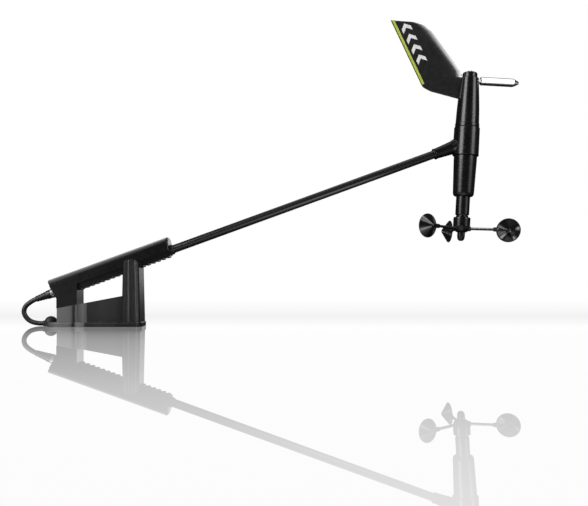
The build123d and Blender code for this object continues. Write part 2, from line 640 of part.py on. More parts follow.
def rotor_cup():
    """Cup opening towards -Y of its own arm frame, with the lug that takes the arm."""
    rim_frame = Pos(ROTOR_R, RIM_Y, ROTOR_Z) * Rot(90, 0, 0)
    cup = rim_frame * cup_shell()
    lug = ARM_AXIS * turned([(0, ARM_END - 2.6), (2.0, ARM_END - 2.6), (2.3, ARM_END - 2.0),
                             (2.5, ARM_END + 4.4), (0, ARM_END + 4.4)])
    # keep the lug clear of the cup's hollow and behind its rim
    floor = -CUP_DEPTH + CUP_WALL
    lug -= rim_frame * turned([(0, 0.6), (CUP_R - 0.5, 0.6), (CUP_R - CUP_WALL + 0.2, -1.25),
                               (3.0, floor + 1.0), (0, floor)])
    lug &= (Pos(ROTOR_R - CUP_R, 10 + RIM_Y + 0.3, ARM_Z) * Box(16, 20, 16))
    cup = cup + lug
    cup -= ARM_AXIS * rod(ARM_R + FIT, 4.0, ARM_END + 2.95)
    # drop any loose sliver the arm's bore leaves
    return sorted(cup.solids(), key=lambda s: s.volume)[-1]


def tip_nut():
    """Domed nut with a blind bore, at the spindle's lower end."""
    return turned([
        (0, -108.4), (1.7, -108.2), (3.1, -107.2), (3.9, -105.4), (4.2, -103.0),
        (4.2, -99.02), (SPINDLE_BORE, -99.02), (SPINDLE_BORE, -105.6), (0, -105.6)])


save(HEAD * rotor_hub(), "rotor_hub")
save_group([HEAD * turn * (ARM_AXIS * rod(ARM_R, 4.1, ARM_END + 2.9)) for turn in ROTOR_TURNS],
           "rotor_arms")
save_group([HEAD * turn * rotor_cup() for turn in ROTOR_TURNS], "rotor_cups")
save(HEAD * rod(SPINDLE_R, -105.5, -47.4), "rotor_spindle")
save(HEAD * tube(3.0, SPINDLE_BORE, -74.98, -57.92), "rotor_race_spacer")
save(HEAD * tube(3.0, SPINDLE_BORE, -80.28, -79.02), "rotor_hub_spacer")
save(HEAD * rod(4.0, -47.38, -44.0), "rotor_magnet")
save(HEAD * tip_nut(), "tip_nut")
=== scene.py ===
import bpy
import bmesh
import json
import math
from mathutils import Matrix, Vector


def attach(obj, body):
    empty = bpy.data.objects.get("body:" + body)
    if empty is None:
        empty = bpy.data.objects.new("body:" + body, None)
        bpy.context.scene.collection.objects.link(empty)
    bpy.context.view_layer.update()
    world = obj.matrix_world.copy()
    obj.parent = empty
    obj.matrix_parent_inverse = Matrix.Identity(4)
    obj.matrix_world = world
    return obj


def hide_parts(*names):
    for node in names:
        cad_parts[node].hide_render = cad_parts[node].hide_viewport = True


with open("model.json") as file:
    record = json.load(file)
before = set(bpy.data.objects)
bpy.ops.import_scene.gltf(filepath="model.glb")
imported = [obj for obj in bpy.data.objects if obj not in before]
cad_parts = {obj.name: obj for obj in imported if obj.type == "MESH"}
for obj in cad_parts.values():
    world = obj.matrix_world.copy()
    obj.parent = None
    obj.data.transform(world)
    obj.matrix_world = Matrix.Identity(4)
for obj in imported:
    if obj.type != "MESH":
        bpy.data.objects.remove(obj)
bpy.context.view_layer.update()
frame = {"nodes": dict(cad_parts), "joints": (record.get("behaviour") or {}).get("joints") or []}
NODES = frame["nodes"]
MM = 0.001
EYE = Vector((0.2134, -0.770, 0.0625))  # where the camera stands


# ---------------------------------------------------------------- frames of the head and spar
def joint_line(name):
    """Position and unit axis of a joint."""
    joint = next(j for j in frame["joints"] if j["name"] == name)
    return Vector(joint["pos_m"]), Vector(joint["axis"]).normalized()


def basis(origin, x, y, z):
    """Matrix whose columns are three axes and an origin."""
    return Matrix((
        (x.x, y.x, z.x, origin.x),
        (x.y, y.y, z.y, origin.y),
        (x.z, y.z, z.z, origin.z),
        (0, 0, 0, 1),
    ))


DEPTH = Vector((0, 1, 0))
head_place, head_axis = joint_line("vane_spin")
spar_place, spar_axis = joint_line("coupling_ring_turn")
head_across = Vector((head_axis.z, 0, -head_axis.x)).normalized()
spar_normal = Vector((-spar_axis.z, 0, spar_axis.x)).normalized()
HEAD = basis(head_place, head_across, DEPTH, head_axis)      # local z runs up the head axis
SPAR = basis(spar_place, spar_axis, DEPTH, spar_normal)      # local x runs along the spar
SPAR_UP = basis(spar_place, DEPTH, spar_normal, spar_axis)   # local z runs along the spar


# ---------------------------------------------------------------- shader building
def add_node(tree, kind, inputs=None, **settings):
    """Add a node; each input takes either a value or another node's output."""
    node = tree.nodes.new(kind)
    for name, value in settings.items():
        setattr(node, name, value)
    for key, value in (inputs or {}).items():
        if isinstance(value, bpy.types.NodeSocket):
            tree.links.new(value, node.inputs[key])
        else:
            node.inputs[key].default_value = value
    return node


def rgba(color):
    return (*color, 1.0)


def shade(color, factor):
    return tuple(channel * factor for channel in color)


class Shader:
    """Builder for one procedural material in object coordinates."""

    def __init__(self, name):
        self.material = bpy.data.materials.new(name)
        self.material.use_nodes = True
        self.tree = self.material.node_tree
        self.tree.nodes.clear()
        self.place = self.node("ShaderNodeTexCoord").outputs["Object"]

    def node(self, kind, inputs=None, **settings):
        return add_node(self.tree, kind, inputs, **settings)

    def finish(self, surface):
        """Join the surface shader to the output and return the material."""
        self.node("ShaderNodeOutputMaterial", {0: surface.outputs[0]})
        return self.material

    def principled(self, inputs):
        return self.finish(self.node("ShaderNodeBsdfPrincipled", inputs))

    def math(self, operation, first, second=None, clamp=False):
        inputs = {0: first} if second is None else {0: first, 1: second}
        node = self.node("ShaderNodeMath", inputs, operation=operation, use_clamp=clamp)
        return node.outputs[0]

    def add(self, first, second):
        return self.math("ADD", first, second)

    def sub(self, first, second):
        return self.math("SUBTRACT", first, second)

    def mul(self, first, second, clamp=False):
        return self.math("MULTIPLY", first, second, clamp)

    def vector_math(self, operation, first, second, output=0):
        node = self.node("ShaderNodeVectorMath", {0: first, 1: second}, operation=operation)
        return node.outputs[output]

    def stretch(self, factors, at=None):
        return self.vector_math("MULTIPLY", at or self.place, factors)

    def coordinate(self, matrix, axis):
        """Distance in metres along one axis (0, 1 or 2) of a tilted frame."""
        row = matrix.inverted()[axis]
        return self.add(self.vector_math("DOT_PRODUCT", self.place, tuple(row[:3]), "Value"), row[3])

    def xyz(self, x, y, z):
        return self.node("ShaderNodeCombineXYZ", {0: x, 1: y, 2: z}).outputs[0]

    def separate(self):
        return self.node("ShaderNodeSeparateXYZ", {0: self.place}).outputs

    def noise(self, scale, detail=3.0, rough=0.55, at=None, distort=0.0):
        return self.node("ShaderNodeTexNoise", {
            "Scale": scale, "Detail": detail, "Roughness": rough, "Distortion": distort,
            "Vector": at or self.place,
        }).outputs["Fac"]

    def voronoi(self, scale, at=None, feature="F1", randomness=1.0):
        return self.node("ShaderNodeTexVoronoi", {
            "Scale": scale, "Randomness": randomness, "Vector": at or self.place,
        }, feature=feature).outputs["Distance"]

    def remap(self, value, start, end, to=(0.0, 1.0)):
        """Carry start..end onto the range given by to."""
        return self.node("ShaderNodeMapRange", {
            "From Min": start, "From Max": end, "To Min": to[0], "To Max": to[1],
            "Value": value,
        }).outputs[0]

    def grey_table(self, value, stops, start, end):
        """Grey level over a distance, straight between stops of (metres, grey)."""
        ramp = self.node("ShaderNodeValToRGB", {0: self.remap(value, start, end)})
        elements = ramp.color_ramp.elements
        while len(elements) > 1:
            elements.remove(elements[-1])
        for i, (distance, grey) in enumerate(stops):
            position = (distance - start) / (end - start)
            if i == 0:
                elements[0].position = position
                element = elements[0]
            else:
                element = elements.new(position)
            element.color = rgba((grey, grey, grey))
        return ramp.outputs[0]

    def mix(self, amount, first, second, blend="MIX"):
        colors = [rgba(c) if isinstance(c, tuple) else c for c in (first, second)]
        return self.node("ShaderNodeMix", {0: amount, 6: colors[0], 7: colors[1]},
                         data_type="RGBA", blend_type=blend).outputs[2]

    def bevel(self, radius, samples):
        return self.node("ShaderNodeBevel", {"Radius": radius}, samples=samples).outputs[0]

    def bump(self, layers, bevel=None):
        """Normal from layers of (height, strength, depth in metres), over a bevel if given."""
        normal = self.bevel(bevel, samples=4) if bevel else None
        for height, strength, depth in layers:
            inputs = {"Strength": strength, "Distance": depth, "Height": height}
            if normal is not None:
                inputs["Normal"] = normal
            normal = self.node("ShaderNodeBump", inputs).outputs[0]
        return normal

    def edge(self, radius):
        """0 on faces and 1 on edges, from how far the bevelled normal leans off the true one."""
        true_normal = self.node("ShaderNodeNewGeometry").outputs["Normal"]
        rounded = self.bevel(radius, samples=6)
        agreement = self.vector_math("DOT_PRODUCT", rounded, true_normal, "Value")
        return self.remap(self.sub(1.0, agreement), start=0.02, end=0.3)


# ---------------------------------------------------------------- material kinds
def plastic(name, base, rough, grain, coat=0.0, seed=0.0, painted_light=None):
    """Moulded black plastic: grain, flow marks, faint scratches, paler worn edges, dust, and where
    given, painted light as lighter bands along x.
    """
    mat = Shader(name)
    at = mat.vector_math("ADD", mat.place, (seed, seed * 0.7, seed * 1.3))
    flow = mat.noise(scale=28.0, detail=4.0, rough=0.6, at=at)
    mottle = mat.noise(scale=190.0, detail=4.0, rough=0.6, at=at)
    pits = mat.voronoi(scale=2600.0, at=at)
    fine = mat.noise(scale=5200.0, detail=2.0, rough=0.5, at=at)
    streaks = mat.stretch((55.0, 380.0, 900.0), at)
    scratch = mat.noise(scale=1.0, detail=6.0, rough=0.7, at=streaks, distort=0.4)
    scratch = mat.remap(scratch, start=0.62, end=0.67)
    dust = mat.noise(scale=900.0, detail=3.0, rough=0.8, at=at)
    dust = mat.remap(dust, start=0.64, end=0.82)
    patches = mat.noise(scale=420.0, detail=4.0, rough=0.7, at=at)
    wear = mat.mul(mat.edge(radius=0.0004), mat.remap(patches, start=0.46, end=0.66))

    def tinted(factor):
        return shade((1.0, 1.0, 1.03), base * factor)

    color = mat.mix(mat.remap(flow, start=0.3, end=0.7), tinted(1.0), tinted(1.6))
    mottling = mat.mul(mat.remap(mottle, start=0.45, end=0.7), 0.4)
    color = mat.mix(mottling, color, tinted(2.2))
    # amount of each blemish and its colour
    for blemish, amount, tone in (
        (wear, 0.30, (0.06, 0.06, 0.062)),
        (dust, 0.07, (0.16, 0.155, 0.15)),
        (scratch, 0.04, (0.2, 0.2, 0.2)),
    ):
        color = mat.mix(mat.mul(blemish, amount), color, tone)
    if painted_light:
        # painted light: lighter bands along x that stand for light falling on the faces, their
        # borders wavering a little
        waver = mat.sub(mat.noise(scale=70.0, detail=4.0, rough=0.65, at=at), 0.5)
        along = mat.add(mat.separate()[0], mat.mul(waver, 0.0016))
        painted_light_grey = mat.grey_table(along, painted_light, start=painted_light[0][0], end=painted_light[-1][0])
        color = mat.mix(1.0, color, painted_light_grey, blend="ADD")
    roughness = mat.remap(mottle, start=0.3, end=0.7, to=(rough * 0.88, rough * 1.14))
    roughness = mat.add(roughness, mat.mul(dust, 0.10))
    roughness = mat.add(roughness, mat.mul(scratch, 0.05))
    roughness = mat.sub(roughness, mat.mul(wear, 0.06))
    return mat.principled({
        "Base Color": color,
        "Roughness": roughness,
        "IOR": 1.46,
        "Specular IOR Level": 0.5,
        "Coat Weight": coat,
        "Coat Roughness": 0.10,
        "Normal": mat.bump([
            (flow, 0.10, 0.0005),
            (pits, grain * 0.5, 0.00002),
            (fine, grain * 0.3, 0.00001),
            (scratch, 0.10, 0.00001),
        ], bevel=0.00035),
    })


def carbon(name):
    """Lacquered carbon tube: two-by-two twill wrapped round the spar under a clear coat."""
    tow_width = 0.0021
    wrap_radius = 0.0045
    mat = Shader(name)
    x, y, z = (mat.coordinate(SPAR, axis) for axis in range(3))
    around = mat.mul(mat.math("ARCTAN2", y, z), wrap_radius)
    warp = mat.math("DIVIDE", mat.add(x, around), tow_width)
    weft = mat.math("DIVIDE", mat.sub(x, around), tow_width)
    # the warp lies on top for two tows in every four; the offset keeps the count positive
    count = mat.add(mat.math("FLOOR", warp), mat.math("FLOOR", weft))
    phase = mat.math("MODULO", mat.add(count, 4000.0), 4.0)
    warp_over = mat.math("LESS_THAN", phase, 2.0)

    def upper(of_warp, of_weft):
        return mat.add(mat.mul(warp_over, of_warp), mat.mul(mat.sub(1.0, warp_over), of_weft))

    def from_middle(tow):
        return mat.math("ABSOLUTE", mat.sub(mat.math("FRACT", tow), 0.5))

    def filaments(tow, crossing, layer):
        at = mat.xyz(mat.mul(tow, 14.0), mat.mul(crossing, 0.7), layer)
        return mat.noise(scale=1.0, detail=3.0, rough=0.6, at=at)

    crown = upper(from_middle(warp), from_middle(weft))
    fibre = upper(filaments(warp, weft, layer=0.0), filaments(weft, warp, layer=5.0))
    color = mat.mix(warp_over, (0.0035, 0.0035, 0.004), (0.009, 0.0092, 0.010))
    color = mat.mix(mat.mul(fibre, 0.45), color, (0.016, 0.0165, 0.018))
    haze = mat.remap(mat.noise(scale=60.0, detail=4.0, rough=0.6), start=0.5, end=0.75)
    color = mat.mix(mat.mul(haze, 0.30), color, (0.016, 0.016, 0.017))
    smear = mat.noise(scale=240.0, detail=4.0, rough=0.7)
    orange_peel = mat.noise(scale=700.0, detail=2.0, rough=0.5)
    return mat.principled({
        "Base Color": color,
        "Roughness": mat.remap(fibre, start=0.3, end=0.7, to=(0.30, 0.46)),
        "Specular IOR Level": 0.25,
        "Coat Weight": 0.9,
        "Coat Roughness": mat.remap(smear, start=0.35, end=0.75, to=(0.05, 0.16)),
        "Normal": mat.bump([
            (mat.sub(0.5, crown), 0.35, 0.00006),
            (fibre, 0.2, 0.00002),
        ]),
        "Coat Normal": mat.bump([(orange_peel, 0.06, 0.0002)]),
    })


def rubber(name, base, rough):
    """Extruded cable sheath or moulded rubber: bloom, die lines, fine pits."""
    mat = Shader(name)
    bloom = mat.noise(scale=120.0, detail=5.0, rough=0.65)
    pits = mat.voronoi(scale=3400.0)
    lines = mat.noise(scale=1.0, detail=4.0, rough=0.6, at=mat.stretch((60.0, 2600.0, 60.0)))
    grime = mat.remap(mat.noise(scale=340.0, detail=4.0, rough=0.75), start=0.58, end=0.75)
    color = mat.mix(mat.remap(bloom, start=0.3, end=0.75),
                    (base, base, base * 1.02), shade((1, 1, 1), base * 2.3))
    color = mat.mix(mat.mul(grime, 0.25), color, (0.09, 0.088, 0.083))
    return mat.principled({
        "Base Color": color,
        "Roughness": mat.remap(bloom, start=0.3, end=0.7, to=(rough * 0.85, rough * 1.2)),
        "IOR": 1.5,
        "Normal": mat.bump([
            (bloom, 0.15, 0.0002),
            (lines, 0.18, 0.00003),
            (pits, 0.12, 0.00003),
        ], bevel=0.0002),
    })


def metal(name, color, rough, stain, turned=None, axis=2):
    """Turned or ground metal: tool lines across an axis of the turned frame, scratches, stains."""
    mat = Shader(name)
    cloud = mat.noise(scale=160.0, detail=5.0, rough=0.65)
    hair = mat.noise(scale=1.0, detail=5.0, rough=0.75,
                     at=mat.stretch((900.0, 140.0, 2600.0)), distort=0.6)
    hair = mat.remap(hair, start=0.6, end=0.7)
    layers = []
    roughness = mat.remap(cloud, start=0.3, end=0.75, to=(rough * 0.7, rough * 1.5))
    if turned is not None:
        along = mat.coordinate(turned, axis)
        rings = mat.noise(scale=1.0, detail=3.0, rough=0.7,
                          at=mat.xyz(mat.mul(along, 5200.0), 0.0, 0.0))
        wide = mat.noise(scale=1.0, detail=2.0, rough=0.6,
                         at=mat.xyz(mat.mul(along, 700.0), 3.0, 0.0))
        layers += [(rings, 0.22, 0.00002), (wide, 0.08, 0.00008)]
        roughness = mat.add(roughness, mat.mul(rings, rough * 0.5))
    layers.append((hair, 0.05, 0.00001))
    dirt = mat.remap(mat.noise(scale=520.0, detail=5.0, rough=0.7), start=0.55, end=0.72)
    dirt = mat.mul(dirt, stain)
    bright = tuple(min(1.0, channel * 1.14) for channel in color)
    tone = mat.mix(mat.remap(cloud, start=0.35, end=0.7), color, bright)
    return mat.principled({
        "Base Color": mat.mix(dirt, tone, shade(color, 0.42)),
        "Metallic": 1.0,
        "Roughness": mat.add(roughness, mat.mul(dirt, 0.3)),
        "Normal": mat.bump(layers, bevel=0.00015),
    })


def film(name, color, dark, rough):
    """Printed film: mottled ink, pinholes, a scuffed rim."""
    mat = Shader(name)
    ink = mat.noise(scale=420.0, detail=4.0, rough=0.6)
    holes = mat.remap(mat.voronoi(scale=1500.0), start=0.0, end=0.16, to=(1.0, 0.0))
    patches = mat.remap(mat.noise(scale=300.0, detail=3.0, rough=0.7), start=0.5, end=0.7)
    holes = mat.mul(holes, patches, clamp=True)
    tone = mat.mix(mat.remap(ink, start=0.3, end=0.75), color, shade(color, 0.78))
    tone = mat.mix(mat.mul(mat.edge(radius=0.0003), 0.5), tone, dark)
    return mat.principled({
        "Base Color": mat.mix(mat.mul(holes, 0.7), tone, dark),
        "Roughness": mat.remap(ink, start=0.3, end=0.7, to=(rough * 0.8, rough * 1.3)),
        "Normal": mat.bump([(ink, 0.1, 0.00003), (holes, 0.2, 0.00003)]),
    })


def board(name):
    """Solder-masked laminate with copper traces and pads under the mask."""
    cells = 420.0        # pads per metre
    scatter = 0.35       # how far they stray from a square grid
    weave_pitch = 16000.0
    mat = Shader(name)
    x, y = (mat.coordinate(HEAD, axis) for axis in range(2))
    flat = mat.xyz(x, y, 0.0)
    weave = mat.mul(*(mat.math("SINE", mat.mul(side, weave_pitch)) for side in (x, y)))
    border = mat.voronoi(cells, flat, feature="DISTANCE_TO_EDGE", randomness=scatter)
    trace = mat.remap(border, start=0.05, end=0.07, to=(1.0, 0.0))
    centre = mat.voronoi(cells, flat, randomness=scatter)
    pad = mat.remap(centre, start=0.14, end=0.17, to=(1.0, 0.0))
    color = mat.mix(trace, (0.012, 0.09, 0.035), (0.03, 0.19, 0.07))
    return mat.principled({
        "Base Color": mat.mix(pad, color, (0.72, 0.66, 0.5)),
        "Metallic": mat.mul(pad, 0.9, clamp=True),
        "Roughness": mat.remap(mat.noise(scale=900.0), start=0.3, end=0.7, to=(0.22, 0.38)),
        "Normal": mat.bump([(trace, 0.3, 0.00004), (weave, 0.1, 0.00002)], bevel=0.0001),
    })


# ---------------------------------------------------------------- materials on the pieces
# painted light on the mast base: lighter bands along x where light falls on its faces: (x in metres,
# added grey)
MAST_PAINTED_LIGHT = [
    (-0.080, 0.004), (-0.056, 0.010), (-0.044, 0.120), (-0.030, 0.100), (-0.0272, 0.070),
    (-0.0256, 0.008), (-0.0238, 0.002), (-0.0222, 0.110), (-0.0200, 0.140), (-0.0165, 0.120),
    (-0.0135, 0.095), (-0.0120, 0.008), (-0.006, 0.010), (0.004, 0.014), (0.018, 0.009),
    (0.024, 0.002), (0.070, 0.000),
]


def dress(material, *pieces):
    """Put a material in every slot of the named pieces."""
    for piece in pieces:
        for slot in NODES[piece].material_slots:
            slot.material = material
    return material


# the mast base carries painted light: lighter bands along x for light falling on its faces
dress(plastic("base_plastic", base=0.0042, rough=0.33, grain=0.30, painted_light=MAST_PAINTED_LIGHT), "mast_base")
dress(plastic("housing_plastic_satin", base=0.0030, rough=0.30, grain=0.22, seed=0.31),
      "root_housing", "spar_receptacle")
dress(plastic("head_plastic_satin", base=0.0026, rough=0.25, grain=0.16, seed=0.57),
      "head_collar", "lower_housing", "rotor_bearing_tube", "vane_hub", "vane_cap",
      "rotor_hub", "tip_nut")
blade_plastic = dress(
    plastic("blade_plastic_gloss", base=0.0075, rough=0.22, grain=0.08, coat=0.6, seed=0.83),
    "vane_blade")
dress(plastic("cup_plastic", base=0.0028, rough=0.17, grain=0.14, seed=1.21), "rotor_cups")
dress(plastic("arm_plastic", base=0.0045, rough=0.26, grain=0.12, seed=1.43), "rotor_arms")
dress(carbon("carbon_spar"), "spar_tube")
dress(rubber("cable_sheath", base=0.008, rough=0.40), "signal_cable", "cable_plug")
dress(rubber("seal_rubber_matte", base=0.007, rough=0.55),
      "spar_seal", "cable_gland", "housing_gasket")

# material, colour, roughness, stain, frame it was turned in, axis of that frame, pieces
for name, color, rough, stain, turned, axis, pieces in (
    ("counterweight_polished", (0.78, 0.78, 0.79), 0.10, 0.08, HEAD, 0, ["counterweight"]),
    ("screw_stainless", (0.60, 0.60, 0.61), 0.24, 0.25, HEAD, 2,
     ["vane_cap_screw", "counterweight_stud"]),
    ("foot_screw_stainless", (0.58, 0.58, 0.59), 0.26, 0.3, Matrix.Identity(4), 2,
     ["foot_screws", "foot_washers"]),
    ("coupling_ring_steel", (0.26, 0.26, 0.27), 0.34, 0.15, SPAR_UP, 2, ["coupling_ring"]),
    ("spindle_ground", (0.64, 0.64, 0.65), 0.18, 0.1, HEAD, 2,
     ["vane_spindle", "rotor_spindle"]),
    ("bearing_race_ground", (0.66, 0.66, 0.67), 0.12, 0.06, HEAD, 2,
     ["vane_inner_races", "vane_outer_races", "rotor_inner_races", "rotor_outer_races"]),
    ("bearing_ball_polished", (0.72, 0.72, 0.74), 0.05, 0.02, None, 2,
     ["vane_bearing_balls", "rotor_bearing_balls"]),
    ("bearing_cage_brass", (0.80, 0.58, 0.26), 0.22, 0.3, HEAD, 2,
     ["vane_bearing_cages", "rotor_bearing_cages"]),
    ("turned_aluminium", (0.72, 0.72, 0.73), 0.28, 0.12, HEAD, 2,
     ["vane_bearing_tube", "vane_race_spacer", "rotor_race_spacer", "rotor_hub_spacer"]),
    ("retaining_ring_steel", (0.38, 0.38, 0.39), 0.3, 0.3, HEAD, 2,
     ["vane_retaining_rings", "rotor_retaining_rings"]),
    ("magnet_nickel", (0.58, 0.57, 0.55), 0.16, 0.2, HEAD, 2, ["vane_magnet", "rotor_magnet"]),
    ("gold_contact", (0.86, 0.62, 0.24), 0.18, 0.1, SPAR_UP, 2, ["receptacle_pins"]),
    ("bare_copper", (0.75, 0.36, 0.2), 0.25, 0.5, None, 2, ["cable_cores"]),
):
    dress(metal(name, color, rough, stain, turned, axis), *pieces)

stripe_film = dress(
    film("stripe_lime", color=(0.50, 0.58, 0.075), dark=(0.05, 0.06, 0.01), rough=0.32),
    "vane_stripe")
mark_film = dress(
    film("mark_white", color=(0.80, 0.80, 0.79), dark=(0.10, 0.10, 0.10), rough=0.34),
    "vane_marks")
dress(board("sensor_board_mask"), "vane_sensor_board", "rotor_sensor_board")
dress(plastic("chip_moulding", base=0.014, rough=0.48, grain=0.4, seed=2.1), "sensor_chips")
dress(rubber("inner_sheath_grey", base=0.12, rough=0.5), "spar_inner_cable")

# ---------------------------------------------------------------- vane blade, head frame, mm
# Outline as (fraction from tip to hub, (x, z)).
# The trailing boundary runs down and then along the lower edge into the hub.
TRAILING = [
    (0.00, (-90.4, 129.9)), (0.02, (-89.7, 128.3)), (0.70, (-52.2, 59.6)),
    (0.722, (-50.9, 58.2)), (0.75, (-49.0, 57.0)), (0.84, (-42.3, 54.0)),
    (0.97, (-15.0, 48.6)), (0.985, (-12.6, 48.1)), (1.00, (-11.0, 47.7)),
]
LEADING = [
    (0.00, (-57.0, 128.5)), (0.02, (-53.6, 127.7)), (0.035, (-51.2, 126.6)),
    (0.06, (-47.9, 124.0)), (0.09, (-44.2, 120.9)), (0.44, (-15.8, 87.0)),
    (0.50, (-11.9, 81.8)), (0.535, (-9.9, 78.4)), (0.56, (-9.2, 75.6)),
    (0.58, (-9.0, 72.6)), (0.62, (-9.1, 70.2)), (0.80, (-9.7, 61.5)),
    (0.97, (-10.5, 49.4)), (1.00, (-10.6, 47.9)),
]
# the straight part of each edge: its upper end, then how far it runs forward and drops
TRAIL_X, TRAIL_Z = -90.4, 129.9
TRAIL_RUN, TRAIL_DROP, TRAIL_LENGTH = 38.2, 70.3, 80.0
LEAD_X, LEAD_Z = -44.2, 120.9
LEAD_RUN, LEAD_DROP = 28.4, 33.9
# mesh columns: distances in from each edge, and how many lie between
TRAIL_COLUMNS = [0.0, 0.05, 0.14, 0.28, 0.5, 0.85]
LEAD_COLUMNS = [0.0, 0.06, 0.16, 0.32, 0.55, 0.9, 1.4, 2.0,
                2.8, 3.7, 4.7, 5.9, 7.3, 9.0, 11.0, 13.0]
MIDDLE_COLUMNS = 16
NARROW = 22.0          # below this width the edge columns draw together
# mesh rows: an even spacing, and extra rows at the tip, the lower bend and the hub
EVEN_ROWS = 110
EXTRA_ROWS = [0.0015, 0.004, 0.0065, 0.70, 0.711, 0.722, 0.985, 0.993, 0.997]
NOSE = LEAD_COLUMNS[-1]               # depth of the thinning toward the leading edge
NOSE_HALF, TRAIL_HALF = 0.5, 0.55     # half thickness at the two edges
SPAN = 84.0                           # blade length the tip rounding is measured on


def outline_at(outline, down):
    """Point of an outline at a fraction of the way from tip to hub."""
    for (above, start), (below, end) in zip(outline, outline[1:]):
        if down <= below:
            part = (down - above) / (below - above)
            return tuple(p + (q - p) * part for p, q in zip(start, end))


def clamp01(value):
    return min(1.0, max(0.0, value))


def nose_half(full, depth, reach):
    """Half thickness at a depth behind the leading edge, reaching full at the reach."""
    return NOSE_HALF + (full - NOSE_HALF) * (1 - ((reach - depth) / reach) ** 2.2)


def half_at(x, z):
    """Half thickness of the blade at (x, z)."""
    trail = TRAIL_X + TRAIL_RUN * ((TRAIL_Z - z) / TRAIL_DROP)
    lead = LEAD_X + LEAD_RUN * (LEAD_Z - z) / LEAD_DROP
    full = 2.5 + 0.9 * (142.0 - z) / 98.0    # thicker toward the hub
    depth = lead - x
    if depth < NOSE:
        return nose_half(full, max(0.0, depth), NOSE)
    return TRAIL_HALF + (full - TRAIL_HALF) * clamp01((x - trail) / (lead - NOSE - trail))


def rounding(distance, radius):
    """Factor that rounds an edge off: 0 on the edge, 1 from the radius inward."""
    if distance >= radius:
        return 1.0
    return math.sqrt(max(0.0, 1 - (1 - distance / radius) ** 2))


def head_point(x, y, z):
    return HEAD @ Vector((x * MM, y * MM, z * MM))


def new_object(name, shape, material):
    """Turn a bmesh into an object of the scene."""
    mesh = bpy.data.meshes.new(name)
    shape.to_mesh(mesh)
    shape.free()
    made = bpy.data.objects.new(name, mesh)
    bpy.context.scene.collection.objects.link(made)
    mesh.materials.append(material)
    return made


def blade_row(shape, down):
    """One row of (near, far) vertex pairs, the same vertex twice where the cheeks meet."""
    trail_x, trail_z = outline_at(TRAILING, down)
    lead_x, lead_z = outline_at(LEADING, down)
    width = math.hypot(lead_x - trail_x, lead_z - trail_z)
    shrink = min(1.0, width / NARROW)
    nose = NOSE * shrink
    rear = [c * shrink for c in TRAIL_COLUMNS]
    fore = [width - c * shrink for c in LEAD_COLUMNS][::-1]
    gap = fore[0] - rear[-1]
    middle = [rear[-1] + gap * i / (MIDDLE_COLUMNS + 1) for i in range(1, MIDDLE_COLUMNS + 1)]
    in_hub = clamp01((down - 0.55) / 0.06)
    row = []
    for from_trail in rear + middle + fore:
        part = from_trail / width
        x = trail_x + (lead_x - trail_x) * part
        z = trail_z + (lead_z - trail_z) * part
        from_lead = width - from_trail
        half = half_at(x, z)
        if from_lead < nose and in_hub < 1.0:
            # the nose follows the cut corner at the tip, so it is measured from the row's end
            own = nose_half(half_at(lead_x - nose, z), from_lead, nose)
            half = own + (half - own) * in_hub
        half *= rounding(from_lead, 0.5)
        half *= rounding(from_trail, 0.55 if down < 0.70 else 0.9)
        half *= rounding(down * SPAN, 0.8)
        half *= rounding(1 - down, 0.015)
        if half < 0.004:
            shared = shape.verts.new(head_point(x, 0.0, z))
            row.append((shared, shared))
        else:
            row.append(tuple(shape.verts.new(head_point(x, y, z)) for y in (-half, half)))
    return row


def blade_mesh():
    even = [round(k / EVEN_ROWS, 5) for k in range(EVEN_ROWS + 1)]
    shape = bmesh.new()
    grid = [blade_row(shape, down) for down in sorted(set(even + EXTRA_ROWS))]
    for upper, lower in zip(grid, grid[1:]):
        for i in range(len(upper) - 1):
            for side, order in ((0, 1), (1, -1)):
                corners = [upper[i], upper[i + 1], lower[i + 1], lower[i]]
                shape.faces.new([pair[side] for pair in corners][::order])
    bmesh.ops.remove_doubles(shape, verts=shape.verts, dist=1e-7)
    bmesh.ops.recalc_face_normals(shape, faces=shape.faces)
    for face in shape.faces:
        face.smooth = True
    return new_object("vane_blade_skin", shape, blade_plastic)


# ---------------------------------------------------------------- printed films on the blade
FILM_ROOT = 0.05       # how far a film's underside is sunk, mm


def along_trail(inward, down):
    """Point at a distance down the trailing edge from its top and in from it."""
    step_x, step_z = TRAIL_RUN / TRAIL_LENGTH, TRAIL_DROP / TRAIL_LENGTH
    return (TRAIL_X + step_x * down + step_z * inward,
            TRAIL_Z - step_z * down + step_x * inward)


def add_patch(shape, outline, columns, rows, lift, sign):
    """One closed film on one cheek, its rim a little lower than its middle."""
    top, low = [], []
    for i in range(columns + 1):
        top.append([])
        low.append([])
        for j in range(rows + 1):
            x, z = along_trail(*outline(i / columns, j / rows))
            half = half_at(x, z)
            rise = lift * 0.75 if i in (0, columns) or j in (0, rows) else lift
            top[i].append(shape.verts.new(head_point(x, sign * (half + rise), z)))
            low[i].append(shape.verts.new(head_point(x, sign * (half - FILM_ROOT), z)))
    for grid in (top, low):
        for i in range(columns):
            for j in range(rows):
                shape.faces.new((grid[i][j], grid[i + 1][j], grid[i + 1][j + 1], grid[i][j + 1]))
    rim = [(i, 0) for i in range(columns)] + [(columns, j) for j in range(rows)]
    rim += [(i, rows) for i in range(columns, 0, -1)] + [(0, j) for j in range(rows, 0, -1)]
    for (i, j), (next_i, next_j) in zip(rim, rim[1:] + rim[:1]):
        shape.faces.new((top[i][j], top[next_i][next_j], low[next_i][next_j], low[i][j]))


def film_mesh(name, outlines, columns, rows, lift, material):
    """Films on both cheeks; an outline turns (across, along) in 0..1 into (inward, down)."""
    shape = bmesh.new()
    for outline in outlines:
        for sign in (-1.0, 1.0):
            add_patch(shape, outline, columns, rows, lift, sign)
    bmesh.ops.recalc_face_normals(shape, faces=shape.faces)
    return new_object(name, shape, material)


def stripe(across, along):
    inset, width, start, length = 0.8, 2.6, 1.4, 77.8
    return inset + width * across, start + length * along


